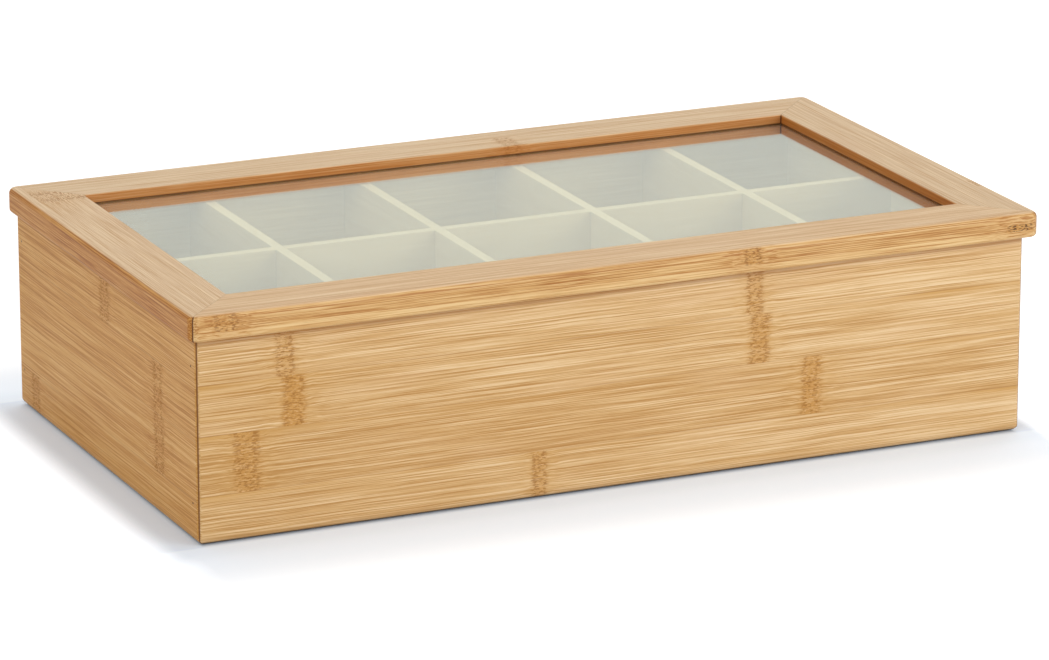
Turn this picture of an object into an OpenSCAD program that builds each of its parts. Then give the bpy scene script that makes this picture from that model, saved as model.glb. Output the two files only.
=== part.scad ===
// Tea bag box of laminated bamboo: ten compartments under a hinged lid with a clear window.
// Millimetres. +X runs along the front, -Y is the front and +Z is up. The origin is the middle
// of the whole box's footprint, lid overhang and hinges included, on the table it stands on.

/* [Body] */
// Length of the body, left face to right face
body_l = 352; // [260:1:460]
// Depth of the body, front face to back face
body_d = 199.5; // [150:0.5:280]
// Height of the body, table to lid
body_h = 82; // [60:1:120]
// Thickness of the four walls
wall_t = 8; // [7:0.5:11]
// Radius of the upright corners
corner_r = 1.8; // [0.5:0.1:3]
// Radius of the bottom edges
foot_r = 4; // [1:0.1:4.5]
// Radius of the top edges of the walls
rim_r = 0.5; // [0.2:0.1:1]

/* [Bottom panel] */
// Thickness of the bottom panel
floor_t = 4; // [3:0.5:6]
// Height of the underside of the bottom panel above the table
floor_z = 4; // [3.5:0.5:8]
// Depth of the groove in the walls that holds the bottom panel
floor_groove = 4; // [2:0.5:5]

/* [Dividers] */
// Thickness of the dividers
divider_t = 4.2; // [3:0.1:6]
// Depth of the grooves in the walls that hold the ends of the dividers
divider_groove = 3; // [2:0.5:4]
// How far the dividers stop below the top of the walls
divider_drop = 0.5; // [0.2:0.1:6]

/* [Lid] */
// Thickness of the lid rails
lid_t = 10.2; // [9:0.1:16]
// How far the lid stands out past the left and right faces
side_overhang = 4; // [1:0.5:10]
// How far the lid stands out past the front face, as a finger grip
front_overhang = 6; // [1:0.5:12]
// Width of the front rail
rail_front = 25; // [18:0.1:36]
// Width of the back rail
rail_back = 25.5; // [20:0.1:36]
// Width of the left and right rails
rail_side = 24.2; // [18:0.1:36]
// Radius of the upright corners of the lid
lid_corner_r = 4; // [2.5:0.1:5]
// Radius of the upper outside edges of the lid
lid_top_r = 2.3; // [0.5:0.1:2.4]
// Radius of the lower outside edges of the lid
lid_low_r = 1.6; // [0.3:0.1:2]
// Bevel of the upper edges around the window
window_bevel = 0.5; // [0.2:0.1:1.5]

/* [Window pane] */
// Thickness of the clear pane
pane_t = 2; // [1.5:0.1:3]
// Depth of the top of the pane below the top of the rails
pane_drop = 4.3; // [3:0.1:5]
// Depth of the groove in the rails that holds the pane
pane_groove = 5; // [3:0.5:8]
// Room above the pane in its groove
pane_room = 0.3; // [0.1:0.1:0.5]

/* [Hinges] */
// Width of each hinge along the back
hinge_w = 30; // [24:1:40]
// Thickness of the hinge leaves
leaf_t = 1.2; // [1:0.1:1.6]
// How far the leaves reach in from the back face
leaf_d = 6.5; // [5.5:0.1:6.8]
// Outside radius of the hinge knuckles
knuckle_r = 2.4; // [2:0.1:3]
// Radius of the hinge pins
pin_r = 1.1; // [0.8:0.05:1.3]
// Length of the tail that stops the lid
tail_l = 6; // [4:0.5:10]
// How far the tail is set in from the outside and the ends of its knuckle
tail_set = 0.3; // [0.1:0.05:0.5]
// Opening angle at which the tail meets the back of the body
open_angle = 100; // [92:1:115]

/* [Screws and brads] */
// Radius of the hinge screws' heads
head_r = 1.7; // [1.4:0.1:2]
// Radius of the hinge screws' shanks
shank_r = 0.9; // [0.7:0.05:1]
// Length of the screws that hold the hinges to the body
body_screw_l = 9; // [6:0.5:12]
// Length of the screws that hold the hinges to the lid
lid_screw_l = 7; // [5:0.5:7.5]
// Distance of the screws from the ends of a leaf
screw_end = 4.5; // [3:0.5:6]
// Distance of the screws from the back face
screw_back = 3.4; // [3:0.1:4]
// Radius of the brads in the corner joints
brad_r = 0.5; // [0.3:0.05:0.8]
// Length of the brads
brad_l = 14; // [9:1:20]
// Distance of the brads from the nearest upright corner
brad_in = 5.4; // [4.5:0.1:5.5]
// Height of the lower brads above the table
brad_low = 16; // [10:1:22]
// Distance of the upper brads below the top of the walls
brad_high = 12; // [10:1:22]

/* [Fits] */
// Slip fit all round a piece in its groove or notch
fit_gap = 0.1; // [0.05:0.05:0.3]
// Running clearance around the hinge pins, and around screws in their holes
pin_gap = 0.05; // [0.02:0.01:0.1]
// Gap between neighbouring knuckles, and from the knuckles to the back face
knuckle_gap = 0.3; // [0.2:0.05:0.5]

/* [Hidden] */

$fn = 48;

// Cuts run this far past the faces they start from.
over = 1;

// Places along Y. The hinges reach behind the body, the lid reaches in front of it.
tail_tilt = open_angle - 90;
hinge_reach = knuckle_gap + knuckle_r
            + max(knuckle_r, tail_l * cos(tail_tilt) + (knuckle_r - tail_set) * sin(tail_tilt));
total_d = front_overhang + body_d + hinge_reach;
back_y = total_d / 2 - hinge_reach;
front_y = back_y - body_d;
mid_y = (front_y + back_y) / 2;
end_x = body_l / 2;

// Inner faces of the walls, and the top of the bottom panel
inner_x = end_x - wall_t;
inner_front_y = front_y + wall_t;
inner_back_y = back_y - wall_t;
floor_top = floor_z + floor_t;

// Dividers: the cross dividers share the length evenly between the end walls.
cross_count = 4;
columns = cross_count + 1;
bay_l = (2 * inner_x - cross_count * divider_t) / columns;
divider_h = body_h - divider_drop - floor_top;
slot_w = divider_t + 2 * fit_gap;
function cross_x(i) = -inner_x + i * (bay_l + divider_t) - divider_t / 2;

// Lid outline and window
lid_x = end_x + side_overhang;
lid_front_y = front_y - front_overhang;
lid_top = body_h + lid_t;
window_x = lid_x - rail_side;
window_front_y = lid_front_y + rail_front;
window_back_y = back_y - rail_back;
pane_top = lid_top - pane_drop;
pane_bottom = pane_top - pane_t;

// Hinges: each is centred on an end compartment, clear of the ends of the dividers.
hinge_x = (cross_x(cross_count) + inner_x) / 2;
axis_y = back_y + knuckle_gap + knuckle_r;
axis_z = body_h;
knuckle_l = hinge_w / 3;
pin_head_l = 0.6;
pin_head_r = pin_r + pin_head_l;

// Screws: a thin rim on the head, a cone to the shank, and a point
head_rim = 0.15;
screw_tip = 1.5;
recess_w = 0.4;
recess_depth = 0.4;

bamboo_face = [0.85, 0.69, 0.47];
bamboo_end = [0.77, 0.60, 0.40];
bamboo_lid = [0.87, 0.73, 0.56];
bamboo_thin = [0.87, 0.80, 0.66];
clear_green = [0.80, 0.92, 0.84, 0.35];
brass = [0.80, 0.66, 0.35];
steel = [0.45, 0.43, 0.41];

// What is cut from a square corner that points to +x +y to leave it round
module corner_waste(r) {
    difference() {
        translate([-r, -r]) square(2 * r);
        translate([-r, -r]) circle(r);
    }
}

// Rectangle w wide, standing on the x axis, with its own radius on the upper and lower corners
module soft_rect(w, h, top_r, low_r) {
    difference() {
        translate([-w / 2, 0]) square([w, h]);
        translate([w / 2, h]) corner_waste(top_r);
        translate([-w / 2, h]) rotate(90) corner_waste(top_r);
        translate([-w / 2, 0]) rotate(180) corner_waste(low_r);
        translate([w / 2, 0]) rotate(270) corner_waste(low_r);
    }
}

// Block from y0 to y1, l long, standing on z0, rounded on its upright, upper and lower edges
module soft_block(l, y0, y1, z0, h, side_r, top_r, low_r) {
    d = y1 - y0;
    translate([0, (y0 + y1) / 2, z0]) intersection() {
        translate([0, -d / 2, -over]) linear_extrude(h + 2 * over) soft_rect(l, d, side_r, side_r);
        translate([0, d / 2 + over, 0]) rotate([90, 0, 0]) linear_extrude(d + 2 * over)
            soft_rect(l, h, top_r, low_r);
        translate([-l / 2 - over, 0, 0]) rotate([90, 0, 90]) linear_extrude(l + 2 * over)
            soft_rect(d, h, top_r, low_r);
    }
}

// Box between two corners
module span(low, high) {
    translate(low) cube(high - low);
}

// Prism over one side of a mitred frame: outer corners a and b, inner corners c and d, in order
// around it. It runs past the outer corners along the mitres, so only the mitres cut.
module mitre_prism(a, b, c, d, z0, h) {
    translate([0, 0, z0 - over]) linear_extrude(h + 2 * over)
        polygon([2 * a - d, 2 * b - c, c, d]);
}

// ---- Body ----

module body_block() {
    soft_block(body_l, front_y, back_y, 0, body_h, corner_r, rim_r, foot_r);
}

// Everything that is grooved into the walls: the bottom panel and the ends of the dividers
module wall_grooves() {
    reach = floor_groove;
    span([-inner_x - reach, inner_front_y - reach, floor_z],
         [inner_x + reach, inner_back_y + reach, floor_top + fit_gap]);
    for (i = [1 : cross_count])
        span([cross_x(i) - slot_w / 2, inner_front_y - divider_groove, floor_z],
             [cross_x(i) + slot_w / 2, inner_back_y + divider_groove, body_h + over]);
    span([-inner_x - divider_groove, mid_y - slot_w / 2, floor_z],
         [inner_x + divider_groove, mid_y + slot_w / 2, body_h + over]);
}

// One wall, between the mitres from its outer corners a and b to its inner corners c and d
module wall(a, b, c, d) {
    difference() {
        intersection() {
            body_block();
            mitre_prism(a, b, c, d, 0, body_h);
        }
        wall_grooves();
        brad_holes();
    }
}

module front_panel() {
    color(bamboo_face)
        wall([-end_x, front_y], [end_x, front_y], [inner_x, inner_front_y],
             [-inner_x, inner_front_y]);
}

module back_panel() {
    color(bamboo_face) difference() {
        wall([end_x, back_y], [-end_x, back_y], [-inner_x, inner_back_y],
             [inner_x, inner_back_y]);
        for (side = [-1, 1]) translate([side * hinge_x, 0, 0]) {
            leaf_recess(axis_z - leaf_t, axis_z + over);
            screw_holes(-1, body_screw_l);
        }
    }
}

module left_panel() {
    color(bamboo_end)
        wall([-end_x, back_y], [-end_x, front_y], [-inner_x, inner_front_y],
             [-inner_x, inner_back_y]);
}

module right_panel() {
    color(bamboo_end)
        wall([end_x, front_y], [end_x, back_y], [inner_x, inner_back_y],
             [inner_x, inner_front_y]);
}

module bottom_panel() {
    reach = floor_groove - fit_gap;
    color(bamboo_thin)
        span([-inner_x - reach, inner_front_y - reach, floor_z],
             [inner_x + reach, inner_back_y + reach, floor_top]);
}

// Brads cross the mitres: each is driven through an end wall into the end of a long wall.
module at_brads() {
    for (side = [-1, 1], y = [front_y + brad_in, back_y - brad_in],
         z = [brad_low, body_h - brad_high])
        translate([side * end_x, y, z]) rotate([0, -side * 90, 0]) children();
}

module brad_holes() {
    at_brads() translate([0, 0, -over]) cylinder(h = brad_l + fit_gap + over, r = brad_r + pin_gap);
}

module corner_brads() {
    color(steel) at_brads() cylinder(h = brad_l, r = brad_r);
}

// ---- Dividers ----

// The cross dividers are notched from below and the long divider from above, each half way.
module cross_divider(i) {
    reach = divider_groove - fit_gap;
    color(bamboo_thin) difference() {
        span([cross_x(i) - divider_t / 2, inner_front_y - reach, floor_top],
             [cross_x(i) + divider_t / 2, inner_back_y + reach, floor_top + divider_h]);
        span([cross_x(i) - divider_t, mid_y - slot_w / 2, floor_top - over],
             [cross_x(i) + divider_t, mid_y + slot_w / 2, floor_top + divider_h / 2 + fit_gap]);
    }
}

module long_divider() {
    reach = divider_groove - fit_gap;
    color(bamboo_thin) difference() {
        span([-inner_x - reach, mid_y - divider_t / 2, floor_top],
             [inner_x + reach, mid_y + divider_t / 2, floor_top + divider_h]);
        for (i = [1 : cross_count])
            span([cross_x(i) - slot_w / 2, mid_y - divider_t, floor_top + divider_h / 2],
                 [cross_x(i) + slot_w / 2, mid_y + divider_t, floor_top + divider_h + over]);
    }
}

// ---- Lid ----

// Section of the lid's outer edge, from r = 0 at the centre of a corner out to its round face
module edge_section() {
    difference() {
        square([lid_corner_r, lid_t]);
        translate([lid_corner_r, lid_t]) corner_waste(lid_top_r);
        translate([lid_corner_r, 0]) rotate(270) corner_waste(lid_low_r);
    }
}

// The lid as one block: two crossing bars with rounded edges, and a turned quarter at each corner
module lid_block() {
    lid_d = back_y - lid_front_y;
    translate([0, (lid_front_y + back_y) / 2, body_h]) {
        translate([lid_corner_r - lid_x, 0, 0]) rotate([90, 0, 90])
            linear_extrude(2 * (lid_x - lid_corner_r)) soft_rect(lid_d, lid_t, lid_top_r, lid_low_r);
        translate([0, lid_d / 2 - lid_corner_r, 0]) rotate([90, 0, 0])
            linear_extrude(lid_d - 2 * lid_corner_r)
                soft_rect(2 * lid_x, lid_t, lid_top_r, lid_low_r);
        for (right = [0, 1], rear = [0, 1]) mirror([1 - right, 0, 0]) mirror([0, 1 - rear, 0])
            translate([lid_x - lid_corner_r, lid_d / 2 - lid_corner_r, 0])
                rotate_extrude(angle = 90) edge_section();
    }
}

module pane_slot() {
    span([-window_x - pane_groove, window_front_y - pane_groove, pane_bottom],
         [window_x + pane_groove, window_back_y + pane_groove, pane_top + pane_room]);
}

// Bevel along the upper inner edge of a rail, from window corner c to window corner d. It runs
// past both corners, and the rail's mitres end it.
module window_edge(c, d) {
    run = d - c;
    translate([c[0], c[1], lid_top]) rotate(atan2(run[1], run[0])) rotate([45, 0, 0])
        span([-over, -window_bevel * sqrt(0.5), -window_bevel * sqrt(0.5)],
             [norm(run) + over, window_bevel * sqrt(0.5), window_bevel * sqrt(0.5)]);
}

// One rail, between the mitres from its outer corners a and b to its inner corners c and d
module rail(a, b, c, d) {
    difference() {
        intersection() {
            lid_block();
            mitre_prism(a, b, c, d, body_h, lid_t);
        }
        pane_slot();
        window_edge(c, d);
    }
}

module lid_front_rail() {
    color(bamboo_lid)
        rail([-lid_x, lid_front_y], [lid_x, lid_front_y], [window_x, window_front_y],
             [-window_x, window_front_y]);
}

module lid_back_rail() {
    color(bamboo_lid) difference() {
        rail([lid_x, back_y], [-lid_x, back_y], [-window_x, window_back_y],
             [window_x, window_back_y]);
        for (side = [-1, 1]) translate([side * hinge_x, 0, 0]) {
            leaf_recess(axis_z - over, axis_z + leaf_t);
            screw_holes(1, lid_screw_l);
        }
    }
}

module lid_left_rail() {
    color(bamboo_lid)
        rail([-lid_x, back_y], [-lid_x, lid_front_y], [-window_x, window_front_y],
             [-window_x, window_back_y]);
}

module lid_right_rail() {
    color(bamboo_lid)
        rail([lid_x, lid_front_y], [lid_x, back_y], [window_x, window_back_y],
             [window_x, window_front_y]);
}

module window_pane() {
    reach = pane_groove - fit_gap;
    color(clear_green)
        span([-window_x - reach, window_front_y - reach, pane_bottom],
             [window_x + reach, window_back_y + reach, pane_top]);
}

// ---- Hinges ----
// Drawn around x = 0. The knuckles run along X at axis_y, axis_z, just behind the back face.

// Recess that takes a leaf flush with the face it is let into
module leaf_recess(z0, z1) {
    span([-hinge_w / 2 - fit_gap, back_y - leaf_d - fit_gap, z0],
         [hinge_w / 2 + fit_gap, back_y + over, z1]);
}

module knuckle(x0, x1) {
    translate([x0, axis_y, axis_z]) rotate([0, 90, 0]) cylinder(h = x1 - x0, r = knuckle_r);
}

module pin_bore() {
    translate([-hinge_w / 2 - over, axis_y, axis_z]) rotate([0, 90, 0])
        cylinder(h = hinge_w + 2 * over, r = pin_r + pin_gap);
}

// Profile of a screw with its head's face on z = 0 and its point down, grown by gap. The head's
// bore goes on up to top.
module screw_profile(l, gap, top) {
    cone_end = head_rim + head_r - shank_r;
    rotate_extrude() polygon([
        [0, top], [head_r + gap, top], [head_r + gap, -head_rim], [shank_r + gap, -cone_end],
        [shank_r + gap, -(l - screw_tip)], [0, -l - gap],
    ]);
}

// Screws of one hinge: dir is -1 down into the body, 1 up into the lid. Each head's face sits one
// fit gap below the face of its leaf, which lies on the parting plane.
module at_screws(dir) {
    for (side = [-1, 1])
        translate([side * (hinge_w / 2 - screw_end), back_y - screw_back, axis_z])
            rotate([dir < 0 ? 0 : 180, 0, 0]) translate([0, 0, -fit_gap]) children();
}

module screw_holes(dir, l) {
    at_screws(dir) screw_profile(l + fit_gap, pin_gap, fit_gap + over);
}

module screw(l) {
    difference() {
        screw_profile(l, 0, 0);
        for (turn = [0, 90]) rotate(turn)
            span([-head_r * 0.6, -recess_w / 2, -recess_depth],
                 [head_r * 0.6, recess_w / 2, over]);
    }
}

// Leaf let into the top of the back wall, with the two outer knuckles
module body_leaf() {
    color(brass) difference() {
        union() {
            span([-hinge_w / 2, back_y - leaf_d, axis_z - leaf_t], [hinge_w / 2, axis_y, axis_z]);
            knuckle(-hinge_w / 2, -knuckle_l / 2 - knuckle_gap);
            knuckle(knuckle_l / 2 + knuckle_gap, hinge_w / 2);
        }
        span([-knuckle_l / 2 - knuckle_gap, back_y, axis_z - leaf_t - over],
             [knuckle_l / 2 + knuckle_gap, axis_y + over, axis_z + over]);
        pin_bore();
        screw_holes(-1, body_screw_l);
    }
}

// Leaf let into the underside of the back rail, with the middle knuckle and the stop tail
module lid_leaf() {
    color(brass) difference() {
        union() {
            difference() {
                span([-hinge_w / 2, back_y - leaf_d, axis_z], [hinge_w / 2, axis_y, axis_z + leaf_t]);
                for (side = [-1, 1]) translate([side * hinge_w / 2, 0, 0])
                    span([-knuckle_l, back_y, axis_z - over],
                         [knuckle_l, axis_y + over, axis_z + leaf_t + over]);
            }
            knuckle(-knuckle_l / 2, knuckle_l / 2);
            translate([0, axis_y, axis_z]) rotate([tail_tilt, 0, 0])
                span([tail_set - knuckle_l / 2, 0, tail_set - knuckle_r],
                     [knuckle_l / 2 - tail_set, tail_l, tail_set - knuckle_r + leaf_t]);
        }
        pin_bore();
        screw_holes(1, lid_screw_l);
    }
}

// Pin with a small head riveted over each end
module hinge_pin() {
    color(brass) translate([0, axis_y, axis_z]) rotate([0, 90, 0]) {
        translate([0, 0, -hinge_w / 2 - fit_gap]) cylinder(h = hinge_w + 2 * fit_gap, r = pin_r);
        for (end = [0, 1]) mirror([0, 0, end])
            translate([0, 0, hinge_w / 2 + fit_gap]) cylinder(h = pin_head_l, r = pin_head_r);
    }
}

module on_hinge(side) {
    translate([side * hinge_x, 0, 0]) children();
}

module body_hinge_screws() {
    color(brass) for (side = [-1, 1]) on_hinge(side) at_screws(-1) screw(body_screw_l);
}

module lid_hinge_screws() {
    color(brass) for (side = [-1, 1]) on_hinge(side) at_screws(1) screw(lid_screw_l);
}

front_panel();
back_panel();
left_panel();
right_panel();
bottom_panel();
long_divider();
cross_divider(1);  // cross_divider_1
cross_divider(2);  // cross_divider_2
cross_divider(3);  // cross_divider_3
cross_divider(4);  // cross_divider_4
corner_brads();
lid_front_rail();
lid_back_rail();
lid_left_rail();
lid_right_rail();
window_pane();
on_hinge(-1) body_leaf();  // left_hinge_body_leaf
on_hinge(-1) lid_leaf();  // left_hinge_lid_leaf
on_hinge(-1) hinge_pin();  // left_hinge_pin
on_hinge(1) body_leaf();  // right_hinge_body_leaf
on_hinge(1) lid_leaf();  // right_hinge_lid_leaf
on_hinge(1) hinge_pin();  // right_hinge_pin
body_hinge_screws();
lid_hinge_screws();
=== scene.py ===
# %% [markdown]
# # A bamboo tea bag box with a window lid
#
# The real box is a joiner's piece: four walls and four lid rails of laminated bamboo, mitred at
# their corners, ten compartments of thin pale dividers, a clear pane and two small brass hinges.
# Its construction already exists as exact solids, in metres, and this lesson dresses it: light,
# camera, wood, glass and metal, and the small hardware that repeats.
#
# The frame comes first. Every node's place is in its mesh and its object sits at the origin, so
# one Object coordinate is the same point of the box on every piece. The box's bounds are kept now.

# %% Load the frame
import math
from collections import namedtuple

import bpy
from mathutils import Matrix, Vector


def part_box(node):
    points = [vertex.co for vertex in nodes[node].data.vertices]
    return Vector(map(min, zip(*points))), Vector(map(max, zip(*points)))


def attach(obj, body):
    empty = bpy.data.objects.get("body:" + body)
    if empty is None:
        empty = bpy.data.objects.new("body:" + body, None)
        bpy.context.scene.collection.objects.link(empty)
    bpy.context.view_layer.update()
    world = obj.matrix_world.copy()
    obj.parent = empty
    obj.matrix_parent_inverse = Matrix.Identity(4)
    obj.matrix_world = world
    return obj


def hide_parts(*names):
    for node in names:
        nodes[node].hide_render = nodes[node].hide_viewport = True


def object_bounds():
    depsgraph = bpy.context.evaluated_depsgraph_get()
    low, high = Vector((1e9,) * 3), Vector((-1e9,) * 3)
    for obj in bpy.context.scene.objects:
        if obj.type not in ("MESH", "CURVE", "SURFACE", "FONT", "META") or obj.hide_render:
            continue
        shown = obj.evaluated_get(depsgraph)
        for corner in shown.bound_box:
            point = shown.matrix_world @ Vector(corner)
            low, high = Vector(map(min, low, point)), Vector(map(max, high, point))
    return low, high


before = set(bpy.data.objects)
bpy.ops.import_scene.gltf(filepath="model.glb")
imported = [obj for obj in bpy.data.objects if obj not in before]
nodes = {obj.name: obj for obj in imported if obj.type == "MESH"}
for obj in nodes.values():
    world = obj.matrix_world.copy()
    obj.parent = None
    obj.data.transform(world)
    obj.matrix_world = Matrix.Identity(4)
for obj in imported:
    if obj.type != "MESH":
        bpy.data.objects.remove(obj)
cad_low, cad_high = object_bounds()
MM = 0.001
print("nodes:", len(nodes), "size in mm:", [round(side / MM, 1) for side in cad_high - cad_low])

# %% [markdown]
# ## The camera
#
# The picture was taken from the left and a little above, from far off with a long lens, so the
# box hardly narrows with distance. A camera could be placed by eye. Here its direction, distance
# and lens come from fitting a pinhole camera to the corners of the lid and the body, and they are
# given as angles round the box, which is how a photographer would note them.

# %% Place the camera
LENS = 198.6  # mm, on Blender's 36 mm sensor
AZIMUTH = -24.29  # degrees to the left of straight in front
ELEVATION = 16.62  # degrees above the table
DISTANCE = 2326 * MM
LOOK_AT = Vector((2.7, -3.7, 37.1)) * MM


def toward(azimuth, elevation):
    """Unit vector from the box towards someone who stands at those angles, in degrees."""
    a, e = math.radians(azimuth), math.radians(elevation)
    return Vector((math.sin(a) * math.cos(e), -math.cos(a) * math.cos(e), math.sin(e)))


def aim(thing, azimuth, elevation, distance, target):
    """Stand a camera or a lamp at those angles and that distance, looking at the target."""
    back = toward(azimuth, elevation)
    thing.location = target + back * distance
    thing.rotation_mode = "QUATERNION"
    thing.rotation_quaternion = (-back).to_track_quat("-Z", "Y")


camera = bpy.data.objects.new("camera", bpy.data.cameras.new("camera"))
camera.data.lens = LENS
camera.data.clip_end = 50
bpy.context.scene.collection.objects.link(camera)
bpy.context.scene.camera = camera
aim(camera, AZIMUTH, ELEVATION, DISTANCE, LOOK_AT)
print("camera at", [round(c, 3) for c in camera.location])

# %% [markdown]
# ## Node trees written as sums
#
# A material is a tree of nodes, and so is a Geometry Nodes set-up. Wiring them by hand takes many
# lines. Two small classes make it read like arithmetic: Val wraps one socket and turns + - * / on
# it into Math nodes, and Tree adds any other node from its type, its settings and its inputs.
# Numbers alone never reach the tree: Python works them out first.

# %% The classes Val and Tree
class Val:
    """One output socket of a tree. Arithmetic on it adds Math nodes."""

    def __init__(self, tree, socket):
        self.tree = tree
        self.socket = socket

    def math(self, operation, *values):
        return self.tree.node(
            "ShaderNodeMath", {"operation": operation}, dict(enumerate(values))
        )

    def __add__(self, other):
        return self.math("ADD", self, other)

    def __sub__(self, other):
        return self.math("SUBTRACT", self, other)

    def __rsub__(self, other):
        return self.math("SUBTRACT", other, self)

    def __mul__(self, other):
        return self.math("MULTIPLY", self, other)

    def __truediv__(self, other):
        return self.math("DIVIDE", self, other)

    def __lt__(self, other):
        return self.math("LESS_THAN", self, other)

    def __gt__(self, other):
        return self.math("GREATER_THAN", self, other)

    def __abs__(self):
        return self.math("ABSOLUTE", self)

    def least(self, other):
        return self.math("MINIMUM", self, other)

    def most(self, other):
        return self.math("MAXIMUM", self, other)

    __radd__ = __add__
    __rmul__ = __mul__


class Tree:
    """A node tree that is being built."""

    def __init__(self, tree):
        self.tree = tree

    def node(self, kind, settings=None, inputs=None, output=0):
        """Add a node: first its settings, then the values or links of its inputs."""
        made = self.tree.nodes.new(kind)
        for name, value in (settings or {}).items():
            setattr(made, name, value)
        for key, value in (inputs or {}).items():
            self.feed(made.inputs[key], value)
        return Val(self, made.outputs[output]) if len(made.outputs) else made

    def feed(self, socket, value):
        if isinstance(value, list):
            for each in value:
                self.feed(socket, each)
        elif isinstance(value, Val):
            self.tree.links.new(value.socket, socket)
        elif socket.type == "RGBA":
            socket.default_value = (*value, 1.0)
        else:
            socket.default_value = value

    def ease(self, value, low, high):
        """0 at low, 1 at high and a soft step between them. It falls where low is above high."""
        return self.node(
            "ShaderNodeMapRange",
            {"interpolation_type": "SMOOTHSTEP"},
            {"Value": value, "From Min": low, "From Max": high},
        )

    def ramp(self, value, low, high):
        """0 at low, 1 at high and a straight line between them."""
        return self.node(
            "ShaderNodeMapRange", None, {"Value": value, "From Min": low, "From Max": high}
        )

    def tint(self, factor, first, second):
        """Colour that goes from first to second as factor goes from 0 to 1."""
        return self.node(
            "ShaderNodeMix", {"data_type": "RGBA"}, {0: factor, 6: first, 7: second}, output=2
        )

    def vector(self, operation, *values):
        return self.node(
            "ShaderNodeVectorMath", {"operation": operation}, dict(enumerate(values))
        )


def shown(red, green, blue):
    """Linear colour of what a screen shows as red, green, blue from 0 to 255."""
    def linear(level):
        share = level / 255
        return share / 12.92 if share <= 0.04045 else ((share + 0.055) / 1.055) ** 2.4
    return tuple(linear(level) for level in (red, green, blue))


print("a mid grey, shown as 188, is", [round(c, 3) for c in shown(188, 188, 188)])

# %% [markdown]
# ## Floor, world and lamps
#
# The box stands on a white table that runs up into a white background. Turning the lamps up until
# the table burns out would wash out the wood too. So the light stays at a plain level, at which a
# colour renders about as it is written, and the whiteness is a property of the backdrop: where
# a camera, mirror or glass ray meets the floor or the world, a little glow is added to it. The
# floor's own shading is kept under that, so the box still casts its soft grey shadow.
#
# On the real picture the shadow is a thin dark line at the foot, a pale grey band in front and
# a deeper one at the left end, and the right end has none. The glow follows that: it comes in by
# soft steps with the distance from the box, and each side has its own steps. Round a corner, one
# side's sum blends into the other's by the direction from the corner.

# %% The white table and world
FLOOR_REACH = 6.0  # m, each way
FLOOR_PAINT = (0.75, 0.75, 0.75)
SEEN_AT_BOX = (0.66, 0.73, 0.82)  # cooler, to make up for the warm light that the bamboo sends
COOL_REACH = 65 * MM  # from the box, where the cooler tone ends
GLOW_AT_BOX = 0.02  # share of full white
NO_ZERO = 1e-6  # m, so that nothing is divided by zero under the box
Step = namedtuple("Step", "share start end")  # a gain in glow, between two distances in m
UNDER_FRONT = [Step(0.23, -8 * MM, -4 * MM)]  # under the lid's front and back edges
UNDER_ENDS = [Step(0.14, -6.5 * MM, -5 * MM)]
OFF_FRONT = [Step(0.05, 0, 12 * MM), Step(0.14, 22 * MM, 60 * MM)]
OFF_LEFT = [Step(0.52, 3 * MM, 19 * MM)]  # past the soft shadow
OFF_RIGHT = [Step(0.42, 0, 8 * MM)]  # the lit end has none
SKY_LEVEL = 0.56
SKY_TINT = (0.97, 0.985, 1.0)
WHITE = (1.0, 1.0, 1.0)
MIRRORED_SKY = (0.96, 1.0, 0.94)


def new_material(name):
    """An empty material and the tree to build it in."""
    material = bpy.data.materials.new(name)
    material.use_nodes = True
    material.node_tree.nodes.clear()
    return material, Tree(material.node_tree)


def ray(tree, kind):
    """1 for rays of that kind."""
    return tree.node("ShaderNodeLightPath", output=kind)


def sees_backdrop(tree):
    """1 for the rays that show the backdrop: the camera's own, and those off metal or glass."""
    mirrored = ray(tree, "Is Glossy Ray").most(ray(tree, "Is Transmission Ray"))
    return ray(tree, "Is Camera Ray").most(mirrored)


def off_the_box(tree):
    """Distances in metres east, west, north and south of the box in plan, with lid and hinges."""
    place = tree.node("ShaderNodeTexCoord", output="Object")
    x, y = [tree.node("ShaderNodeSeparateXYZ", None, {0: place}, output=axis) for axis in "XY"]
    return x - cad_high.x, cad_low.x - x, y - cad_high.y, cad_low.y - y


def rise(tree, distance, steps):
    """The glow that the steps have added up to at that distance."""
    total = 0
    for step in steps:
        total = tree.ease(distance, step.start, step.end) * step.share + total
    return total


table_finish, tree = new_material("white table")
east, west, north, south = off_the_box(tree)
lengthwise = south.most(north)
right, left, straight = east.most(0), west.most(0), lengthwise.most(0)
endwise = right + left
squared = endwise * endwise + straight * straight
away = squared.math("SQRT", squared)
sides = rise(tree, away, OFF_FRONT) * straight
sides = sides + rise(tree, away, OFF_LEFT) * left + rise(tree, away, OFF_RIGHT) * right
below = rise(tree, lengthwise, UNDER_FRONT).most(rise(tree, east.most(west), UNDER_ENDS))
glow_level = GLOW_AT_BOX + below + sides / (endwise + straight + NO_ZERO)
paint = tree.node("ShaderNodeBsdfDiffuse", None, {"Color": FLOOR_PAINT})
seen_colour = tree.tint(tree.ease(away, 0, COOL_REACH), SEEN_AT_BOX, FLOOR_PAINT)
seen_paint = tree.node("ShaderNodeBsdfDiffuse", None, {"Color": seen_colour})
glow = tree.node("ShaderNodeEmission", None, {"Strength": glow_level})
lit = tree.node("ShaderNodeAddShader", None, {0: seen_paint, 1: glow})
seen = tree.node("ShaderNodeMixShader", None, {0: sees_backdrop(tree), 1: paint, 2: lit})
tree.node("ShaderNodeOutputMaterial", None, {"Surface": seen})

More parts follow.
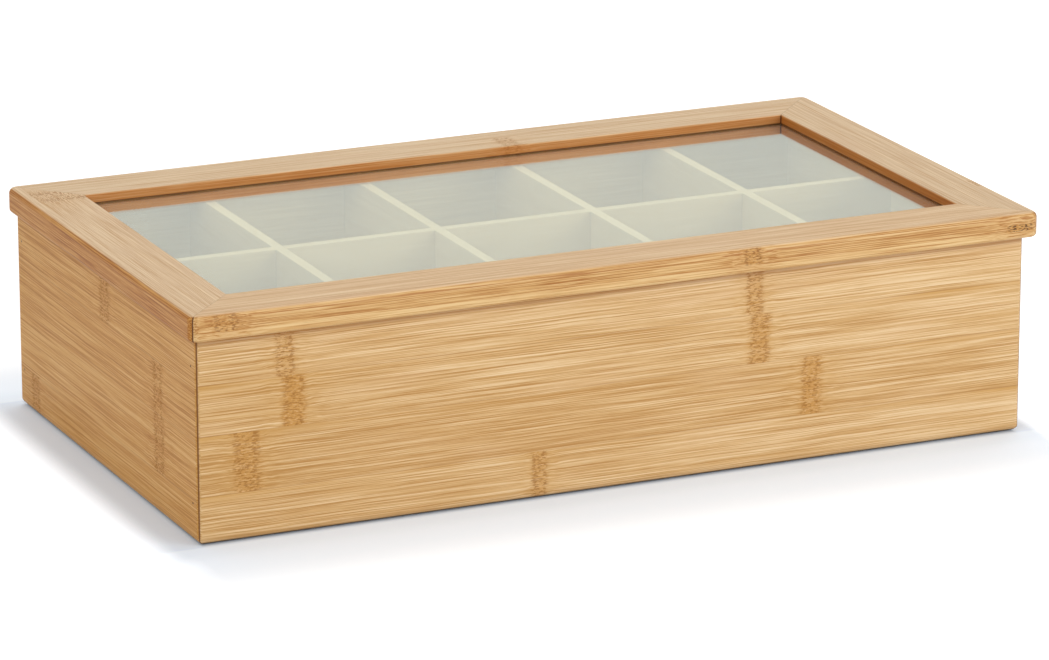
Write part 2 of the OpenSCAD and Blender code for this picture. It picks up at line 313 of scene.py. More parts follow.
corners = [(x * FLOOR_REACH, y * FLOOR_REACH, 0) for x, y in ((-1, -1), (1, -1), (1, 1), (-1, 1))]
floor_mesh = bpy.data.meshes.new("table top")
floor_mesh.from_pydata(corners, [], [(0, 1, 2, 3)])
floor_mesh.materials.append(table_finish)
floor = bpy.data.objects.new("table_top", floor_mesh)
bpy.context.scene.collection.objects.link(floor)

world = bpy.context.scene.world or bpy.data.worlds.new("world")
bpy.context.scene.world = world
world.use_nodes = True
world.node_tree.nodes.clear()
sky = Tree(world.node_tree)
level = SKY_LEVEL + (1 - SKY_LEVEL) * sees_backdrop(sky)
air_colour = sky.tint(ray(sky, "Is Camera Ray"), SKY_TINT, WHITE)
air_colour = sky.tint(ray(sky, "Is Glossy Ray"), air_colour, MIRRORED_SKY)
air = sky.node("ShaderNodeBackground", None, {"Color": air_colour, "Strength": level})
sky.node("ShaderNodeOutputWorld", None, {"Surface": air})
print("floor paint", FLOOR_PAINT, "sky level", SKY_LEVEL)

# %% [markdown]
# The lamps are big soft boxes, as in a product studio. The main one stands low to the right in
# front, so the front is brighter than the left end and the lid's overhang throws only a thin
# shadow on it. One overhead, a little behind, lights the lid, and a weaker one the left end.
# A lamp's power for a wanted brightness follows from its distance: a share k of full brightness
# on a surface that faces it takes k * pi^2 * d^2 watts.

# %% The soft boxes
LAMP_SIZE = 1.6  # m
WARM_WHITE = (1.0, 0.99, 0.98)
WARMER_WHITE = (1.0, 0.98, 0.95)


def soft_box(name, azimuth, elevation, distance, share, colour):
    """A square lamp at those angles that gives that share of full brightness at the box."""
    lamp = bpy.data.lights.new(name, "AREA")
    lamp.shape = "SQUARE"
    lamp.size = LAMP_SIZE
    lamp.energy = share * math.pi ** 2 * distance ** 2
    lamp.color = colour
    holder = bpy.data.objects.new(name, lamp)
    bpy.context.scene.collection.objects.link(holder)
    aim(holder, azimuth, elevation, distance, LOOK_AT)


soft_box("main_soft_box", 35, 18, 2.6, 0.43, WARM_WHITE)
soft_box("overhead_soft_box", 150, 70, 2.6, 0.30, WARM_WHITE)
soft_box("left_soft_box", -60, 25, 3.0, 0.22, WARMER_WHITE)
bpy.context.scene.view_settings.view_transform = "Standard"
print("lamps:", [lamp.name for lamp in bpy.data.lights])

# %% [markdown]
# ## Bamboo: the grain
#
# A bamboo board is glued up from split strips of the stem. Seen from a step away it shows crisp
# parallel fibre lines about a millimetre apart, fine dark dashes, broader golden bands, and
# strips of slightly unlike tone. An image texture would stretch on the end faces. Noise drawn out
# along the grain is solid: it runs through the board, so the edges and roundings show the same
# fibres as the face.
#
# Everything is measured in millimetres in the board's own terms: u runs along the grain, v across
# the strips and w through the board.

# %% Grain coordinates and streaks
NOISE_GAIN = 3.2  # brings the noise to about -1 to 1
Grain = namedtuple("Grain", "u v w")


def grain_of(tree, along, across, through):
    """The place of a point in the board: along the grain, across the strips, through it."""
    place = tree.node("ShaderNodeTexCoord", output="Object")
    in_mm = tree.vector("SCALE", place)
    in_mm.socket.node.inputs["Scale"].default_value = 1 / MM
    axes = {
        axis: tree.node("ShaderNodeSeparateXYZ", None, {0: in_mm}, output=axis) for axis in "XYZ"
    }
    return Grain(axes[along], axes[across], axes[through])


def streaks(tree, grain, length, width, seed, detail=2.0, roughness=0.5):
    """Noise from about -1 to 1 in streaks of about that length and width, in mm."""
    point = tree.node("ShaderNodeCombineXYZ", None, {0: grain.u, 1: grain.v, 2: grain.w})
    drawn_out = tree.vector(
        "MULTIPLY_ADD", point, (1 / length, 1 / width, 1 / width), (seed, seed * 1.7, seed * 2.3)
    )
    noise = tree.node("ShaderNodeTexNoise", None, {
        "Vector": drawn_out, "Scale": 1, "Detail": detail, "Roughness": roughness,
    })
    return (noise - 0.5) * NOISE_GAIN


print("streaks are ready")

# %% [markdown]
# ## Bamboo: the node marks
#
# Where the stem had a node, the fibres knot together. On the planed strip this shows as a column
# about 8 mm wide straight across it: short dark dashes on a golden brown ground, thickest at its
# two margins, with ends as ragged as the fibres, and a grain that wavers for a few centimetres on
# both sides. A mark belongs to one strip and stops dead at its glue lines, which is what tells
# the eye that the board is laminated. Each has its own strength of ground.
#
# All marks of a board share one field, the distance to the nearest mark in half widths of that
# mark, and one set of masks is drawn from it, so the tree stays small.

# %% Node marks and glue lines
FAR = 1000.0  # mm, off any board
MARK_REACH = 5.0  # half widths from the middle of a mark to where nothing of it is left
Mark = namedtuple("Mark", "place strip half ground")
GLUE_EDGE, GLUE_CORE = 0.4, 0.1  # mm from a glue line: where it starts and is full
GLUE_REACH = 3.6  # mm under a glue line where the wood is more orange
SEAM_EDGE, SEAM_CORE = 0.42, 0.14  # mm from a mitre: where its dark line starts and is full


def mark_fields(grain, marks, lines):
    """Distance to the nearest mark of the same strip, in its half widths, and its ground."""
    spans = list(zip((-FAR, *lines), (*lines, FAR)))
    near, ground = None, None
    for mark in marks:
        low, high = spans[mark.strip]
        off_strip = 1 - (grain.v > low) * (grain.v < high)
        distance = abs(grain.u - mark.place) / mark.half + off_strip * FAR
        here = (distance < MARK_REACH) * mark.ground
        near = distance if near is None else near.least(distance)
        ground = here if ground is None else ground.most(here)
    return near, ground


def strip_number(grain, lines):
    """0, 1, 2 ... for the strips from the lowest up."""
    number = 0
    for line in lines:
        number = (grain.v > line) + number
    return number


def glue_lines(tree, grain, lines, seed):
    """Masks of the thin glue lines, and of the orange wood just under them near the ends."""
    here_and_there = 0.4 + 0.6 * tree.ease(streaks(tree, grain, 45, 60, seed), -0.3, 0.8)
    to_the_ends = 0.25 + 0.75 * tree.ease(abs(grain.u), 60, 150)
    line, shade = None, None
    for place in lines:
        gap = grain.v - place
        thin = tree.ease(abs(gap), GLUE_EDGE, GLUE_CORE)
        under = tree.ease(gap, -GLUE_REACH, 0) * (gap < 0)
        line = thin if line is None else line.most(thin)
        shade = under if shade is None else shade.most(under)
    return line * here_and_there, shade * here_and_there * to_the_ends


def seam_mask(tree, ends):
    """Mask of the thin dark joint where two boards meet along a line in plan, in mm."""
    place = tree.node("ShaderNodeTexCoord", output="Object")
    seam = None
    for (x0, y0), (x1, y1) in ends:
        normal = Vector((y0 - y1, x1 - x0, 0)).normalized()
        across = tree.node(
            "ShaderNodeVectorMath", {"operation": "DOT_PRODUCT"},
            {0: place, 1: normal / MM}, output="Value",
        )
        off_seam = abs(across - normal.dot((x0, y0, 0)))
        thin = tree.ease(off_seam, SEAM_EDGE, SEAM_CORE)
        seam = thin if seam is None else seam.most(thin)
    return seam


print("marks and lines are ready")

# %% [markdown]
# ## Bamboo: the finish
#
# The colour is built the way the board is: a tone for each strip, then bands, fibre lines and
# ripples that move it between a deep and a pale colour, then golden and rosy bands, dark dashes,
# glue lines and node marks on top. The same fields drive the bump and the roughness, so a dark
# fleck is also a small pit that shines less. The lacquer is satin and thin. At the left end it is
# seen at a low angle and would mirror the white room, so the end pieces get less gloss.
#
# Boards differ in what their parts look like, so a piece hands in the masks that it needs:
#
# - on a wall, "worn" is an upright corner browned by handling, "foot" a painted contact shade at
#   the table, "under_lid" a painted shadow under the lid's edge and "inside" the pale face in a
#   compartment,
# - on a rail, "upright" has the deeper tones of its upright faces, "lip" is a paler lamination,
#   "seam_shows" the strength of the mitre lines, "marked" where node marks show and "burnt" where
#   they are nearly black, and "window_side" the orange face round the pane, with painted warm
#   bounce light on it and painted shade in its groove.

# %% The bamboo finish
# edge: the handled corners, and the painted shadow under the lid; seam: mitres, and the groove's
# painted shade
Tones = namedtuple("Tones", "deep mid pale gold rosy dash mark fleck edge seam")
WALL = Tones(
    deep=shown(184, 136, 76), mid=shown(212, 172, 117), pale=shown(234, 204, 160),
    gold=shown(202, 154, 84), rosy=shown(218, 180, 136), dash=shown(158, 108, 56),
    mark=shown(194, 140, 66), fleck=shown(146, 94, 38), edge=shown(156, 100, 48),
    seam=shown(92, 56, 30),
)
SANDED_DEEP = shown(195, 170, 120)
SANDED_PALE = shown(218, 196, 150)
# the orange of the wood round the pane, made stronger to paint the warm light bounced onto it
WINDOW_ORANGE_AND_BOUNCE = shown(206, 124, 58)
# painted contact shade along the walls' foot, and the real near black of the burnt dashes
FOOT_SHADE_AND_BURNT_BROWN = shown(62, 48, 38)
# the groove's dark line is painted shade, in the gap over the pane
GROOVE_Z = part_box("window_pane")[1].z / MM + 0.3  # mm, the dark gap over the pane
STRIP_SHIFT = 211.0  # mm along the grain from one strip's pattern to the next one's
STRIP_TONES = 0.22  # spread in tone from strip to strip
WANDER, WAVER = 0.25, 0.8  # mm that the fibres stray, everywhere and beside a node mark
BANDS, FIBRES = 0.07, 0.85  # their weight in the tone, in which 0 is deep and 1 pale
RIPPLE, MARK_RIPPLE = 0.12, 0.34
GOLDEN, ROSY, DASHED = 0.28, 0.3, 0.4  # their share over the colour below
GLUE_SHADE, GLUE_LINE = 0.85, 0.5
MARK_HALO, FLECKED, BURNT, GLINTS = 0.22, 0.62, 0.8, 0.35
# shares of the browned corners, the painted shadow under the lid and the painted contact shade at
# the table
WEAR_AND_SHADE = {"under_lid": 0.4, "worn": 0.75, "foot": 0.9}
# shares of the painted bounce light round the pane, the groove's painted shade and the mitre lines
WINDOW_SHARE, GROOVE_SHARE, SEAM_SHARE = 0.55, 0.85, 0.75
GROOVE_EDGE, GROOVE_CORE = 0.6, 0.25  # mm from the middle of the dark gap
HALO_EDGE, MARGIN = 4.5, 0.8  # half widths from a mark's middle: its reach, its thickest flecks
MARK_EDGE, MARK_CORE = 1.6, 0.6  # half widths: where it starts and is full
RAGGED = 0.6  # half widths that its ends stray
LIP_TONE = 0.35
RAISED, SUNK_DASH, SUNK, SUNK_SEAM = 0.35, 0.4, 0.8, 1.5  # weights in the relief
SATIN = 0.44  # roughness of the lacquer
DULLER = 0.2  # what flecks and sanded faces add to it


def fibre_tone(tree, grain, strip, halo, bold, seed):
    """The bent grain, each point's tone from 0 for deep to 1 for pale, and its fibre lines."""
    wander = streaks(tree, grain, 34, 14, seed + 1)
    waver = streaks(tree, grain, 9, 3, seed + 11)
    stray = wander * WANDER + waver * halo * WAVER
    bent = grain._replace(u=grain.u + strip * STRIP_SHIFT, v=grain.v + stray)
    strip_tone = tree.node(
        "ShaderNodeTexWhiteNoise", {"noise_dimensions": "1D"}, {"W": strip + seed}
    )
    bands = streaks(tree, bent, 170, 7, seed + 2) + streaks(tree, bent, 110, 2.4, seed + 3)
    lines = streaks(tree, bent, 50, 0.38, seed + 4, detail=1.5, roughness=0.6)
    ripple = streaks(tree, bent, 7, 0.5, seed + 5) * (RIPPLE + MARK_RIPPLE * halo)
    tone = 0.5 + (strip_tone - 0.5) * STRIP_TONES
    return bent, tone + bold * (bands * BANDS + lines * FIBRES + ripple), lines


def ground_colour(tree, bent, tone, tones, bold, seed):
    """The wood without marks: deep to pale by its tone, with golden and rosy bands."""
    colour = tree.tint(tree.ramp(tone, 0, 0.5), tones.deep, tones.mid)
    colour = tree.tint(tree.ramp(tone, 0.5, 1), colour, tones.pale)
    golden = tree.ease(streaks(tree, bent, 120, 4.5, seed + 6), 0.15, 1.1)
    colour = tree.tint(golden * GOLDEN * bold, colour, tones.gold)
    rosy = tree.ease(streaks(tree, bent, 60, 10, seed + 12), 0.1, 1.0)
    return tree.tint(rosy * ROSY, colour, tones.rosy)


def add_marks(tree, grain, near, halo, ground, colour, tones, bold, seed, given):
    """Lay the node marks over the colour. Also returns their dark flecks."""
    ragged = near + streaks(tree, grain, 12, 0.9, seed + 9) * RAGGED
    core = tree.ease(ragged, MARK_EDGE, MARK_CORE) * given.get("marked", 1)
    margin = tree.ease(abs(near - MARGIN), 0.5, 0.1)
    speckle = streaks(tree, grain, 1.5, 0.5, seed + 10, detail=1)
    flecks = tree.ease(speckle + margin * 0.25, 0.05, 0.5) * core
    glints = tree.ease(speckle, -0.3, -0.8) * core
    colour = tree.tint(halo * MARK_HALO, colour, tones.gold)
    colour = tree.tint(core * ground, colour, tones.mark)
    colour = tree.tint(flecks * FLECKED, colour, tones.fleck)
    if "burnt" in given:
        colour = tree.tint(flecks * given["burnt"] * BURNT, colour, FOOT_SHADE_AND_BURNT_BROWN)
    return tree.tint(glints * GLINTS * bold, colour, tones.pale), flecks


def add_wear_and_shade(tree, grain, colour, tones, given):
    """Brown the parts of the board that its masks name: handled corners, painted shade and painted
    bounce light.
    """
    if "window_side" in given:
        # painted warm bounce light over the orange face round the pane
        colour = tree.tint(given["window_side"] * WINDOW_SHARE, colour, WINDOW_ORANGE_AND_BOUNCE)
        # painted shade in the groove's gap over the pane
        gap = tree.ease(abs(grain.w - GROOVE_Z), GROOVE_EDGE, GROOVE_CORE)
        colour = tree.tint(gap * given["window_side"] * GROOVE_SHARE, colour, tones.seam)
    browns = {"under_lid": tones.edge, "worn": tones.edge, "foot": FOOT_SHADE_AND_BURNT_BROWN}
    for part, brown in browns.items():
        if part in given:
            colour = tree.tint(given[part] * WEAR_AND_SHADE[part], colour, brown)
    return colour


def bamboo(
    name, along, across, through, lines, marks, seams=(), tones=WALL, bold=1.0, seed=1.0,
    glued=True, gloss=0.25, masks=None, standing=None, drift=0.0,
):
    """Laminated bamboo, lacquered. bold is the strength of its streaks and marks, standing the
    tones of its upright faces, and drift what it gains in tone per mm along the grain."""
    material, tree = new_material(name)
    grain = grain_of(tree, along, across, through)
    near, ground = mark_fields(grain, marks, lines)
    halo = tree.ease(near, HALO_EDGE, MARGIN)
    given = {key: mask(tree, grain) for key, mask in (masks or {}).items()}
    if "upright" in given:
        tones = Tones(*[
            tree.tint(given["upright"], flat, stood) for flat, stood in zip(tones, standing)
        ])
    strip = strip_number(grain, lines)
    bent, tone, fibres = fibre_tone(tree, grain, strip, halo, bold, seed)
    tone = tone + grain.u * drift
    if "lip" in given:
        tone = tone + given["lip"] * LIP_TONE

    colour = ground_colour(tree, bent, tone, tones, bold, seed)
    dashes = tree.ease(streaks(tree, bent, 14, 0.4, seed + 7), 0.5, 1.0)
    colour = tree.tint(dashes * DASHED * bold, colour, tones.dash)
    relief = fibres * RAISED - dashes * SUNK_DASH
    if glued:
        line, shade = glue_lines(tree, grain, lines, seed + 8)
        colour = tree.tint(shade * GLUE_SHADE, colour, tones.gold)
        colour = tree.tint(line * GLUE_LINE, colour, tones.dash)
        relief = relief - line * SUNK
    colour, flecks = add_marks(
        tree, grain, near, halo, ground, colour, tones, bold, seed, given
    )
    relief = relief - flecks * SUNK
    colour = add_wear_and_shade(tree, grain, colour, tones, given)
    seam = seam_mask(tree, seams) * given.get("seam_shows", SEAM_SHARE)
    colour = tree.tint(seam, colour, tones.seam)
    rough = SATIN + flecks * DULLER - fibres * 0.03
    if "inside" in given:
        sanded = tree.tint(tree.ease(tone, -0.1, 1.1), SANDED_DEEP, SANDED_PALE)
        colour = tree.tint(given["inside"], colour, sanded)
        rough = rough + given["inside"] * DULLER
    bump = tree.node("ShaderNodeBump", None, {
        "Strength": 0.3, "Distance": 0.08 * MM, "Height": relief - seam * SUNK_SEAM,
    })
    lacquer = tree.node("ShaderNodeBsdfPrincipled", None, {
        "Base Color": colour, "Roughness": rough, "IOR": 1.5, "Specular IOR Level": gloss,
        "Normal": bump,
    })
    tree.node("ShaderNodeOutputMaterial", None, {"Surface": lacquer})
    print(name, "has", len(material.node_tree.nodes), "nodes")
    return material


def dress(names, material):
    """Give the frame's nodes of those names this material."""
    for name in names:
        slots = nodes[name].data.materials
        slots.clear()
        slots.append(material)


# %% [markdown]
# ## The four walls
#
# Each long wall is four strips high, with its grain along the box, and so are the end walls. The
# front's glue lines and node marks are where the real box has them. The back and the right end
# aren't seen in the picture: they get marks of the same kind, at other places. The upright
# corners are a little browned by handling. Along the lower edge a painted contact shade darkens
# the wood at the table, and under the lid's edge a painted shadow browns a strip. The front grows
# slightly paler towards the right.

# %% Where the walls stand
box_low, box_high = [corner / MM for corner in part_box("front_panel")]
end_low, end_high = [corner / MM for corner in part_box("left_panel")]
WALL_T = end_high.x - end_low.x
BODY_X = -end_low.x
BODY_TOP = box_high.z
FRONT_Y = box_low.y
BACK_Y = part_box("back_panel")[1].y / MM
CORNER_WORN = 0.8  # mm, how far the browned corner reaches
# height of the painted contact shade where the walls meet the table
FOOT_SHADE_HEIGHT = 1.1  # mm, height of the dark line at the table
# how far down the painted shadow under the lid's overhanging edge reaches
UNDER_LID = 3.6  # mm, how far down the brown strip under the lid's edge reaches
FRONT_DRIFT = 0.0006  # in tone, per mm to the right
END_GLOSS = 0.1


def plan_corner(side, y, inward):
    """Seam in plan from a body corner to the inner corner, one wall thickness in."""
    return (side * BODY_X, y), (side * (BODY_X - WALL_T), y + inward * WALL_T)


def wall_masks(u_low, u_high, inner_w, inward):
    """The masks of a wall from its ends along the grain, its inner face and the way inward."""
    def worn(tree, grain):
        low = tree.ease(grain.u, u_low + CORNER_WORN + 0.3, u_low + CORNER_WORN - 0.3)
        high = tree.ease(grain.u, u_high - CORNER_WORN - 0.3, u_high - CORNER_WORN + 0.3)
        return low.most(high)

    # painted contact shade along the lower edge, where it meets the table
    def foot(tree, grain):
        return tree.ease(grain.v, FOOT_SHADE_HEIGHT + 0.4, FOOT_SHADE_HEIGHT - 0.4)

    def inside(tree, grain):
        return tree.ease(grain.w * inward, inner_w * inward - 0.3, inner_w * inward - 0.1)

    # painted shadow of the lid's overhanging edge, on the wall's top strip
    def under_lid(tree, grain):
        band = tree.ease(grain.v, BODY_TOP - UNDER_LID, BODY_TOP - UNDER_LID + 1.2)
        return band * tree.ease(grain.v, BODY_TOP - 0.6, BODY_TOP - 1.6)

    return {"worn": worn, "foot": foot, "inside": inside, "under_lid": under_lid}


FRONT_SEAMS = [plan_corner(side, FRONT_Y, 1) for side in (-1, 1)]
BACK_SEAMS = [plan_corner(side, BACK_Y, -1) for side in (-1, 1)]
LEFT_SEAMS = [plan_corner(-1, FRONT_Y, 1), plan_corner(-1, BACK_Y, -1)]
RIGHT_SEAMS = [plan_corner(1, FRONT_Y, 1), plan_corner(1, BACK_Y, -1)]
print("wall thickness", round(WALL_T, 2), "body length", round(2 * BODY_X, 1))

# %% Dress the walls
FRONT_LINES = (19.5, 43.2, 63.2)
FRONT_MARKS = [
    Mark(-140.0, 3, 3.6, 0.30), Mark(57.0, 3, 3.2, 0.45), Mark(-136.7, 2, 4.2, 0.75),
    Mark(59.5, 2, 3.8, 0.60), Mark(-156.0, 1, 4.8, 0.50), Mark(82.0, 1, 3.8, 0.60),
    Mark(-35.0, 0, 2.9, 0.45),
]
BACK_LINES = (18.5, 40.0, 60.8)
BACK_MARKS = [
    Mark(118.0, 3, 3.9, 0.35), Mark(-92.0, 2, 4.2, 0.5), Mark(121.0, 2, 3.6, 0.4),
    Mark(-14.0, 1, 4.0, 0.3), Mark(-101.0, 0, 3.7, 0.45), Mark(96.0, 0, 4.2, 0.3),
]
LEFT_LINES = (17.5, 41.0, 62.0)
LEFT_MARKS = [
    Mark(79.5, 0, 4.0, 0.2), Mark(-60.8, 1, 4.6, 0.2), Mark(-60.2, 2, 4.4, 0.1),
    Mark(-3.0, 3, 4.6, 0.2),
]
RIGHT_LINES = (20.4, 41.8, 61.5)
RIGHT_MARKS = [
    Mark(-71.0, 0, 4.2, 0.3), Mark(38.0, 1, 4.4, 0.2), Mark(-22.0, 2, 4.0, 0.3),
    Mark(66.0, 3, 4.3, 0.2),
]
ENDS = WALL._replace(
    deep=shown(172, 114, 50), mid=shown(204, 150, 80), pale=shown(222, 178, 116),
    gold=shown(190, 132, 60), rosy=shown(204, 150, 90), mark=shown(176, 120, 56),
    fleck=shown(150, 98, 48),
)

dress(["front_panel"], bamboo(
    "front_wall_bamboo", "X", "Z", "Y", FRONT_LINES, FRONT_MARKS, FRONT_SEAMS, seed=3,
    masks=wall_masks(-BODY_X, BODY_X, FRONT_Y + WALL_T, 1), drift=FRONT_DRIFT))
dress(["back_panel"], bamboo(
    "back_wall_bamboo", "X", "Z", "Y", BACK_LINES, BACK_MARKS, BACK_SEAMS, seed=17,
    masks=wall_masks(-BODY_X, BODY_X, BACK_Y - WALL_T, -1)))
dress(["left_panel"], bamboo(
    "left_wall_bamboo", "Y", "Z", "X", LEFT_LINES, LEFT_MARKS, LEFT_SEAMS, ENDS, 0.95,
    seed=31, gloss=END_GLOSS, masks=wall_masks(FRONT_Y, BACK_Y, WALL_T - BODY_X, 1)))
dress(["right_panel"], bamboo(
    "right_wall_bamboo", "Y", "Z", "X", RIGHT_LINES, RIGHT_MARKS, RIGHT_SEAMS, ENDS, 0.95,
    seed=45, gloss=END_GLOSS, masks=wall_masks(FRONT_Y, BACK_Y, BODY_X - WALL_T, -1)))

# %% [markdown]
# ## The lid rails
#
# The rails are sawn from the same stock, so their upper face shows the strips' edges: finer, paler
# and calmer than the walls. Their upright faces are the strips' flat sides, more orange and boldly
# streaked, and the front one has a paler lamination along its lower edge. The mitres are cut from
# the outer corners of the lid to the corners of the window. On the sanded top they hardly show;
# on the upright faces they are dark.

# %% Where the rails lie
rail_low, rail_high = [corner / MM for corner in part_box("lid_front_rail")]
rear_low, rear_high = [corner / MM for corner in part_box("lid_back_rail")]
side_low, side_high = [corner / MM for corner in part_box("lid_left_rail")]
LID_X = -side_low.x
LID_FRONT, LID_BACK = rail_low.y, rear_high.y
LID_LOW, LID_TOP = rail_low.z, rail_high.z
WINDOW_X = -side_high.x
WINDOW_FRONT, WINDOW_BACK = rail_high.y, rear_low.y
LIP = 3.4  # mm, height of the pale lamination along the front rail's lower edge
SKIN = 4.0  # mm, depth from the outer face that shares the marks of that face
BACK_STRIP = 12  # mm, width of the back rail's outer strip
END_ROW, END_ROW_TOP = 160, 6.0  # mm: beyond that X, marks end that high above the rail's foot
RAIL_GLOSS = 0.12  # of the two end rails


def lid_seam(side, front):
    """Mitre in plan at one corner of the lid."""
    outer, inner = (LID_FRONT, WINDOW_FRONT) if front else (LID_BACK, WINDOW_BACK)
    return (side * LID_X, outer), (side * WINDOW_X, inner)


def upright(tree, grain):
    """1 on a rail's upright faces, 0 on its top."""
    return tree.ease(grain.w, LID_TOP - 0.1, LID_TOP - 0.6)


def seam_shows(tree, grain):
    """Strength of the mitre lines: faint on the sanded top, dark on the upright faces."""
    return 0.15 + 0.8 * upright(tree, grain)


def lip(tree, grain):
    """The pale lamination along the lower edge of the front rail."""
    return tree.ease(grain.w, LID_LOW + LIP + 0.2, LID_LOW + LIP - 0.2)


def marked(tree, grain):
    """Where the front rail's marks show: on its upright face, above the pale lamination."""
    above = upright(tree, grain) * (grain.w > LID_LOW + LIP)
    return above * (1 - (grain.u > END_ROW) * (grain.w > LID_LOW + END_ROW_TOP))


def burnt(tree, grain):
    """The row of nearly black dashes near the right end of the front rail."""
    return grain.u > END_ROW


def window_side(edge, inward):
    """The mask of a rail's upright face round the window, from its place across the rail. It gets
    painted warm bounce light and the groove's painted shade.
    """
    def mask(tree, grain):
        face = tree.ease(grain.v * inward, edge * inward - 0.7, edge * inward - 0.3)
        return face * upright(tree, grain)
    return mask


RAIL = WALL._replace(
    deep=shown(186, 142, 94), mid=shown(208, 170, 126), pale=shown(224, 195, 156),
    gold=shown(200, 158, 108), rosy=shown(210, 175, 140), mark=shown(188, 142, 94),
    fleck=shown(150, 104, 62),
)
UPRIGHT = WALL._replace(
    deep=shown(172, 116, 60), mid=shown(209, 164, 104), pale=shown(230, 196, 142),
    gold=shown(188, 130, 68), rosy=shown(206, 158, 104), fleck=shown(124, 72, 34),
)
UPRIGHT_ENDS = UPRIGHT._replace(
    deep=shown(146, 84, 34), mid=shown(180, 118, 52), pale=shown(206, 154, 88),
    gold=shown(166, 102, 40), rosy=shown(182, 120, 60),
)
RAIL_MASKS = {"upright": upright, "seam_shows": seam_shows}
print("rails from", round(LID_LOW, 1), "to", round(LID_TOP, 1), "mm up")

# %% Dress the rails
dress(["lid_front_rail"], bamboo(
    "front_rail_bamboo", "X", "Y", "Z", (LID_FRONT + SKIN,),
    [Mark(53, 0, 3.6, 0.4), Mark(171, 0, 4.2, 0.5), Mark(-166, 0, 4.5, 0.3)],
    [lid_seam(-1, True), lid_seam(1, True)], RAIL, 1.2, seed=52, glued=False, standing=UPRIGHT,
    masks={**RAIL_MASKS, "lip": lip, "marked": marked, "burnt": burnt,
           "window_side": window_side(WINDOW_FRONT, 1)}))
dress(["lid_back_rail"], bamboo(
    "back_rail_bamboo", "X", "Y", "Z", (LID_BACK - BACK_STRIP,), [Mark(32, 0, 3.4, 0.3)],
    [lid_seam(-1, False), lid_seam(1, False)], RAIL._replace(mid=shown(211, 182, 145)), 1.0,
    seed=63, glued=False, standing=UPRIGHT,
    masks={**RAIL_MASKS, "window_side": window_side(WINDOW_BACK, -1)}))
dress(["lid_left_rail"], bamboo(
    "left_rail_bamboo", "Y", "X", "Z", (SKIN - LID_X,), [Mark(76, 1, 7, 0.0)],
    [lid_seam(-1, True), lid_seam(-1, False)], RAIL._replace(mid=shown(207, 175, 139)), 1.1,
    seed=74, glued=False, gloss=RAIL_GLOSS, standing=UPRIGHT_ENDS,
    masks={**RAIL_MASKS, "window_side": window_side(-WINDOW_X, 1)}))
dress(["lid_right_rail"], bamboo(
    "right_rail_bamboo", "Y", "X", "Z", (LID_X - SKIN,), [Mark(-58, 1, 4, 0.3)],
    [lid_seam(1, True), lid_seam(1, False)], RAIL._replace(mid=shown(203, 173, 138)), 0.9,
    seed=85, glued=False, gloss=RAIL_GLOSS, standing=UPRIGHT_ENDS,
    masks={**RAIL_MASKS, "window_side": window_side(WINDOW_X, -1)}))

# %% [markdown]
# ## Dividers and bottom
#
# The ten compartments are made with thin sheets of pale, sanded bamboo ply, unlacquered. It has
# a fine, even grain, no node marks and hardly any gloss.

# %% Dress the dividers and the bottom
def ply(name, along, across, through, seed):
    """Pale sanded ply with a fine grain."""
    material, tree = new_material(name)
    grain = grain_of(tree, along, across, through)
    fibres = streaks(tree, grain, 30, 0.8, seed, detail=3)
    bands = streaks(tree, grain, 110, 6, seed + 1)
    tone = tree.ease(0.5 + fibres * 0.22 + bands * 0.2, 0, 1)
    colour = tree.tint(tone, SANDED_DEEP, SANDED_PALE)
    bump = tree.node(
        "ShaderNodeBump", None, {"Strength": 0.3, "Distance": 0.06 * MM, "Height": fibres}
    )
    sanded = tree.node("ShaderNodeBsdfPrincipled", None, {
        "Base Color": colour, "Roughness": 0.62 - fibres * 0.04, "Normal": bump,
    })
    tree.node("ShaderNodeOutputMaterial", None, {"Surface": sanded})
    print(name, "has", len(material.node_tree.nodes), "nodes")
    return material


dress(["long_divider"], ply("long_divider_ply", "X", "Z", "Y", 5))
dress(["bottom_panel"], ply("bottom_ply", "X", "Y", "Z", 9))
dress([f"cross_divider_{i}" for i in (1, 2, 3, 4)], ply("cross_divider_ply", "Y", "Z", "X", 13))

# %% [markdown]
# ## The clear pane
#
# The pane is a real slab with two faces, held in the rails' groove. Seen at a low angle it mirrors
# a good part of the white surroundings, which lays a milky veil over the compartments. The index
# is a little above that of plain glass, because the picture's veil is that strong. A true glass
# shader gives both, but it blocks the lamps' light, because Cycles can't aim a shadow ray through
# a bending surface. So for shadow rays and for diffuse bounces the pane is a thin clear filter
# instead, and the light reaches the dividers.

# %% Glaze the lid
GLASS_TINT = (0.96, 0.987, 0.957)
MINT = (0.90, 1.0, 0.92)  # of what the pane mirrors
HAZE = 0.05  # share of the pane's light that a fine film of dust scatters
PANE_IOR = 1.7
glass, tree = new_material("clear_pane")
place = tree.node("ShaderNodeTexCoord", output="Object")
dust = tree.node(
    "ShaderNodeTexNoise", None, {"Vector": place, "Scale": 60, "Detail": 4, "Roughness": 0.7}
)
slab = tree.node("ShaderNodeBsdfPrincipled", None, {
    "Base Color": GLASS_TINT, "Roughness": tree.ease(dust, 0.5, 0.9) * 0.04, "IOR": PANE_IOR,
    "Specular Tint": MINT, "Transmission Weight": 1 - HAZE,
})
clear = tree.node("ShaderNodeBsdfTransparent", None, {"Color": GLASS_TINT})
lets_light_in = ray(tree, "Is Shadow Ray").most(ray(tree, "Is Diffuse Ray"))
pane = tree.node("ShaderNodeMixShader", None, {0: lets_light_in, 1: slab, 2: clear})
tree.node("ShaderNodeOutputMaterial", None, {"Surface": pane})
dress(["window_pane"], glass)
print("the pane's tint is", GLASS_TINT)

# %% [markdown]
# ## Hinge brass
#
# The leaves, knuckles and pins are stamped and drawn brass, brushed along their length. Fine lines
# change the roughness and the bump, and a slow tarnish darkens the colour here and there.

